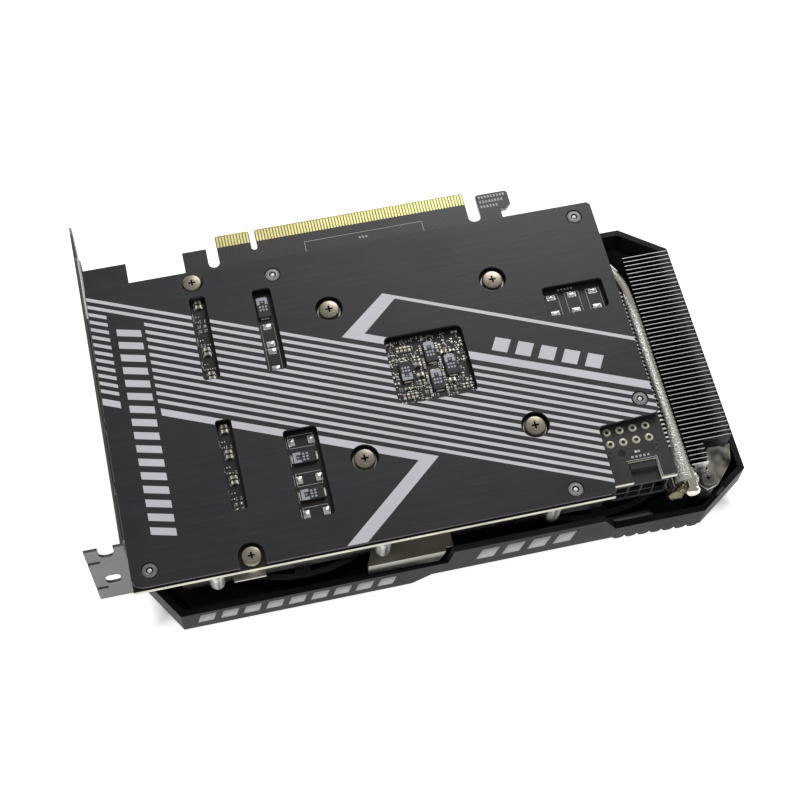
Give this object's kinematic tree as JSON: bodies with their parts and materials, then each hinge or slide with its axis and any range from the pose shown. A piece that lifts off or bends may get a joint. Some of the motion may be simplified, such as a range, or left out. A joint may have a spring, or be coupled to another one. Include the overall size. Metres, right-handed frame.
{
  "type": "graphics card",
  "caption": "Two-slot computer graphics card with twin axial fans, finned cooler with heat pipes, slotted backplate, edge connector and steel expansion bracket.",
  "frame": {"origin": "centre of the card's bounding box at its base, the fan shroud's face on which it lies", "axes": "+X from the expansion bracket to the card's tail, +Y from the card's free edge to its gold edge contacts, +Z from the fans to the backplate"},
  "size_m": [0.2098, 0.138, 0.039],
  "materials": {
    "board_mask": "satin black solder mask",
    "backplate_black": "brushed, black",
    "bracket_steel": "satin",
    "port_steel": "bright",
    "connector_plastic": "fine texture",
    "package_substrate": "satin",
    "silicon": "polished",
    "chip_black": "matt",
    "cold_plate_copper": "nickel-plated copper",
    "pipe_nickel": "bright nickel plate",
    "fin_aluminium": "bright nickel plate",
    "frame_steel": "bright nickel plate",
    "screw_nickel": "dark nickel plate",
    "screw_black": "black oxide",
    "standoff_zinc": "zinc plate",
    "capacitor_can": "polished",
    "inductor_ferrite": "matt grey",
    "header_nylon": "natural nylon",
    "shroud_plastic": "fine texture",
    "fan_frame_plastic": "fine texture",
    "stator_coil": "enamelled copper wire",
    "bearing_bronze": "sintered",
    "fan_plastic": "satin",
    "shaft_steel": "ground",
    "magnet_rubber": "bonded ferrite"
  },
  "bodies": {
    "card": {"pcb": "board_mask", "backplate": "backplate_black", "io_bracket": "bracket_steel", "hdmi_port": "port_steel", "displayport_1": "port_steel", "displayport_2": "port_steel", "displayport_3": "port_steel", "power_connector": "connector_plastic", "gpu_package": "package_substrate", "gpu_die": "silicon", "cold_plate": "cold_plate_copper", "heat_pipe_1": "pipe_nickel", "heat_pipe_2": "pipe_nickel", "heat_pipe_3": "pipe_nickel", "fin_stack_main": "fin_aluminium", "fin_stack_bridge": "fin_aluminium", "fin_stack_tail": "fin_aluminium", "mounting_frame": "frame_steel", "brace_lower": "frame_steel", "brace_upper": "frame_steel", "side_flange": "frame_steel", "tail_bracket": "frame_steel", "tail_screw": "screw_black", "brace_screw_lower": "screw_nickel", "brace_screw_upper": "screw_nickel", "fan_shroud": "shroud_plastic", "fan_header": "header_nylon", "memory_chip_1": "chip_black", "memory_chip_2": "chip_black", "memory_chip_3": "chip_black", "memory_chip_4": "chip_black", "memory_chip_5": "chip_black", "memory_chip_6": "chip_black", "gpu_screw_1": "screw_nickel", "gpu_screw_2": "screw_nickel", "gpu_screw_3": "screw_nickel", "gpu_screw_4": "screw_nickel", "backplate_standoff_1": "standoff_zinc", "backplate_standoff_2": "standoff_zinc", "backplate_standoff_3": "standoff_zinc", "backplate_standoff_4": "standoff_zinc", "backplate_standoff_5": "standoff_zinc", "capacitor_1": "capacitor_can", "inductor_1": "inductor_ferrite", "capacitor_2": "capacitor_can", "inductor_2": "inductor_ferrite", "capacitor_3": "capacitor_can", "inductor_3": "inductor_ferrite", "left_fan_frame": "fan_frame_plastic", "left_stator": "stator_coil", "left_bearing": "bearing_bronze", "right_fan_frame": "fan_frame_plastic", "right_stator": "stator_coil", "right_bearing": "bearing_bronze"},
    "left_fan": {"left_fan_rotor": "fan_plastic", "left_fan_shaft": "shaft_steel", "left_fan_magnet": "magnet_rubber"},
    "right_fan": {"right_fan_rotor": "fan_plastic", "right_fan_shaft": "shaft_steel", "right_fan_magnet": "magnet_rubber"}
  },
  "joints": [
    {"name": "left_fan_spin", "type": "hinge", "parent": "card", "child": "left_fan", "pos_m": [-0.0398, -0.015, 0.006], "axis": [0, 0, 1], "continuous": true},
    {"name": "right_fan_spin", "type": "hinge", "parent": "card", "child": "right_fan", "pos_m": [0.0552, -0.015, 0.006], "axis": [0, 0, 1], "continuous": true}
  ]
}
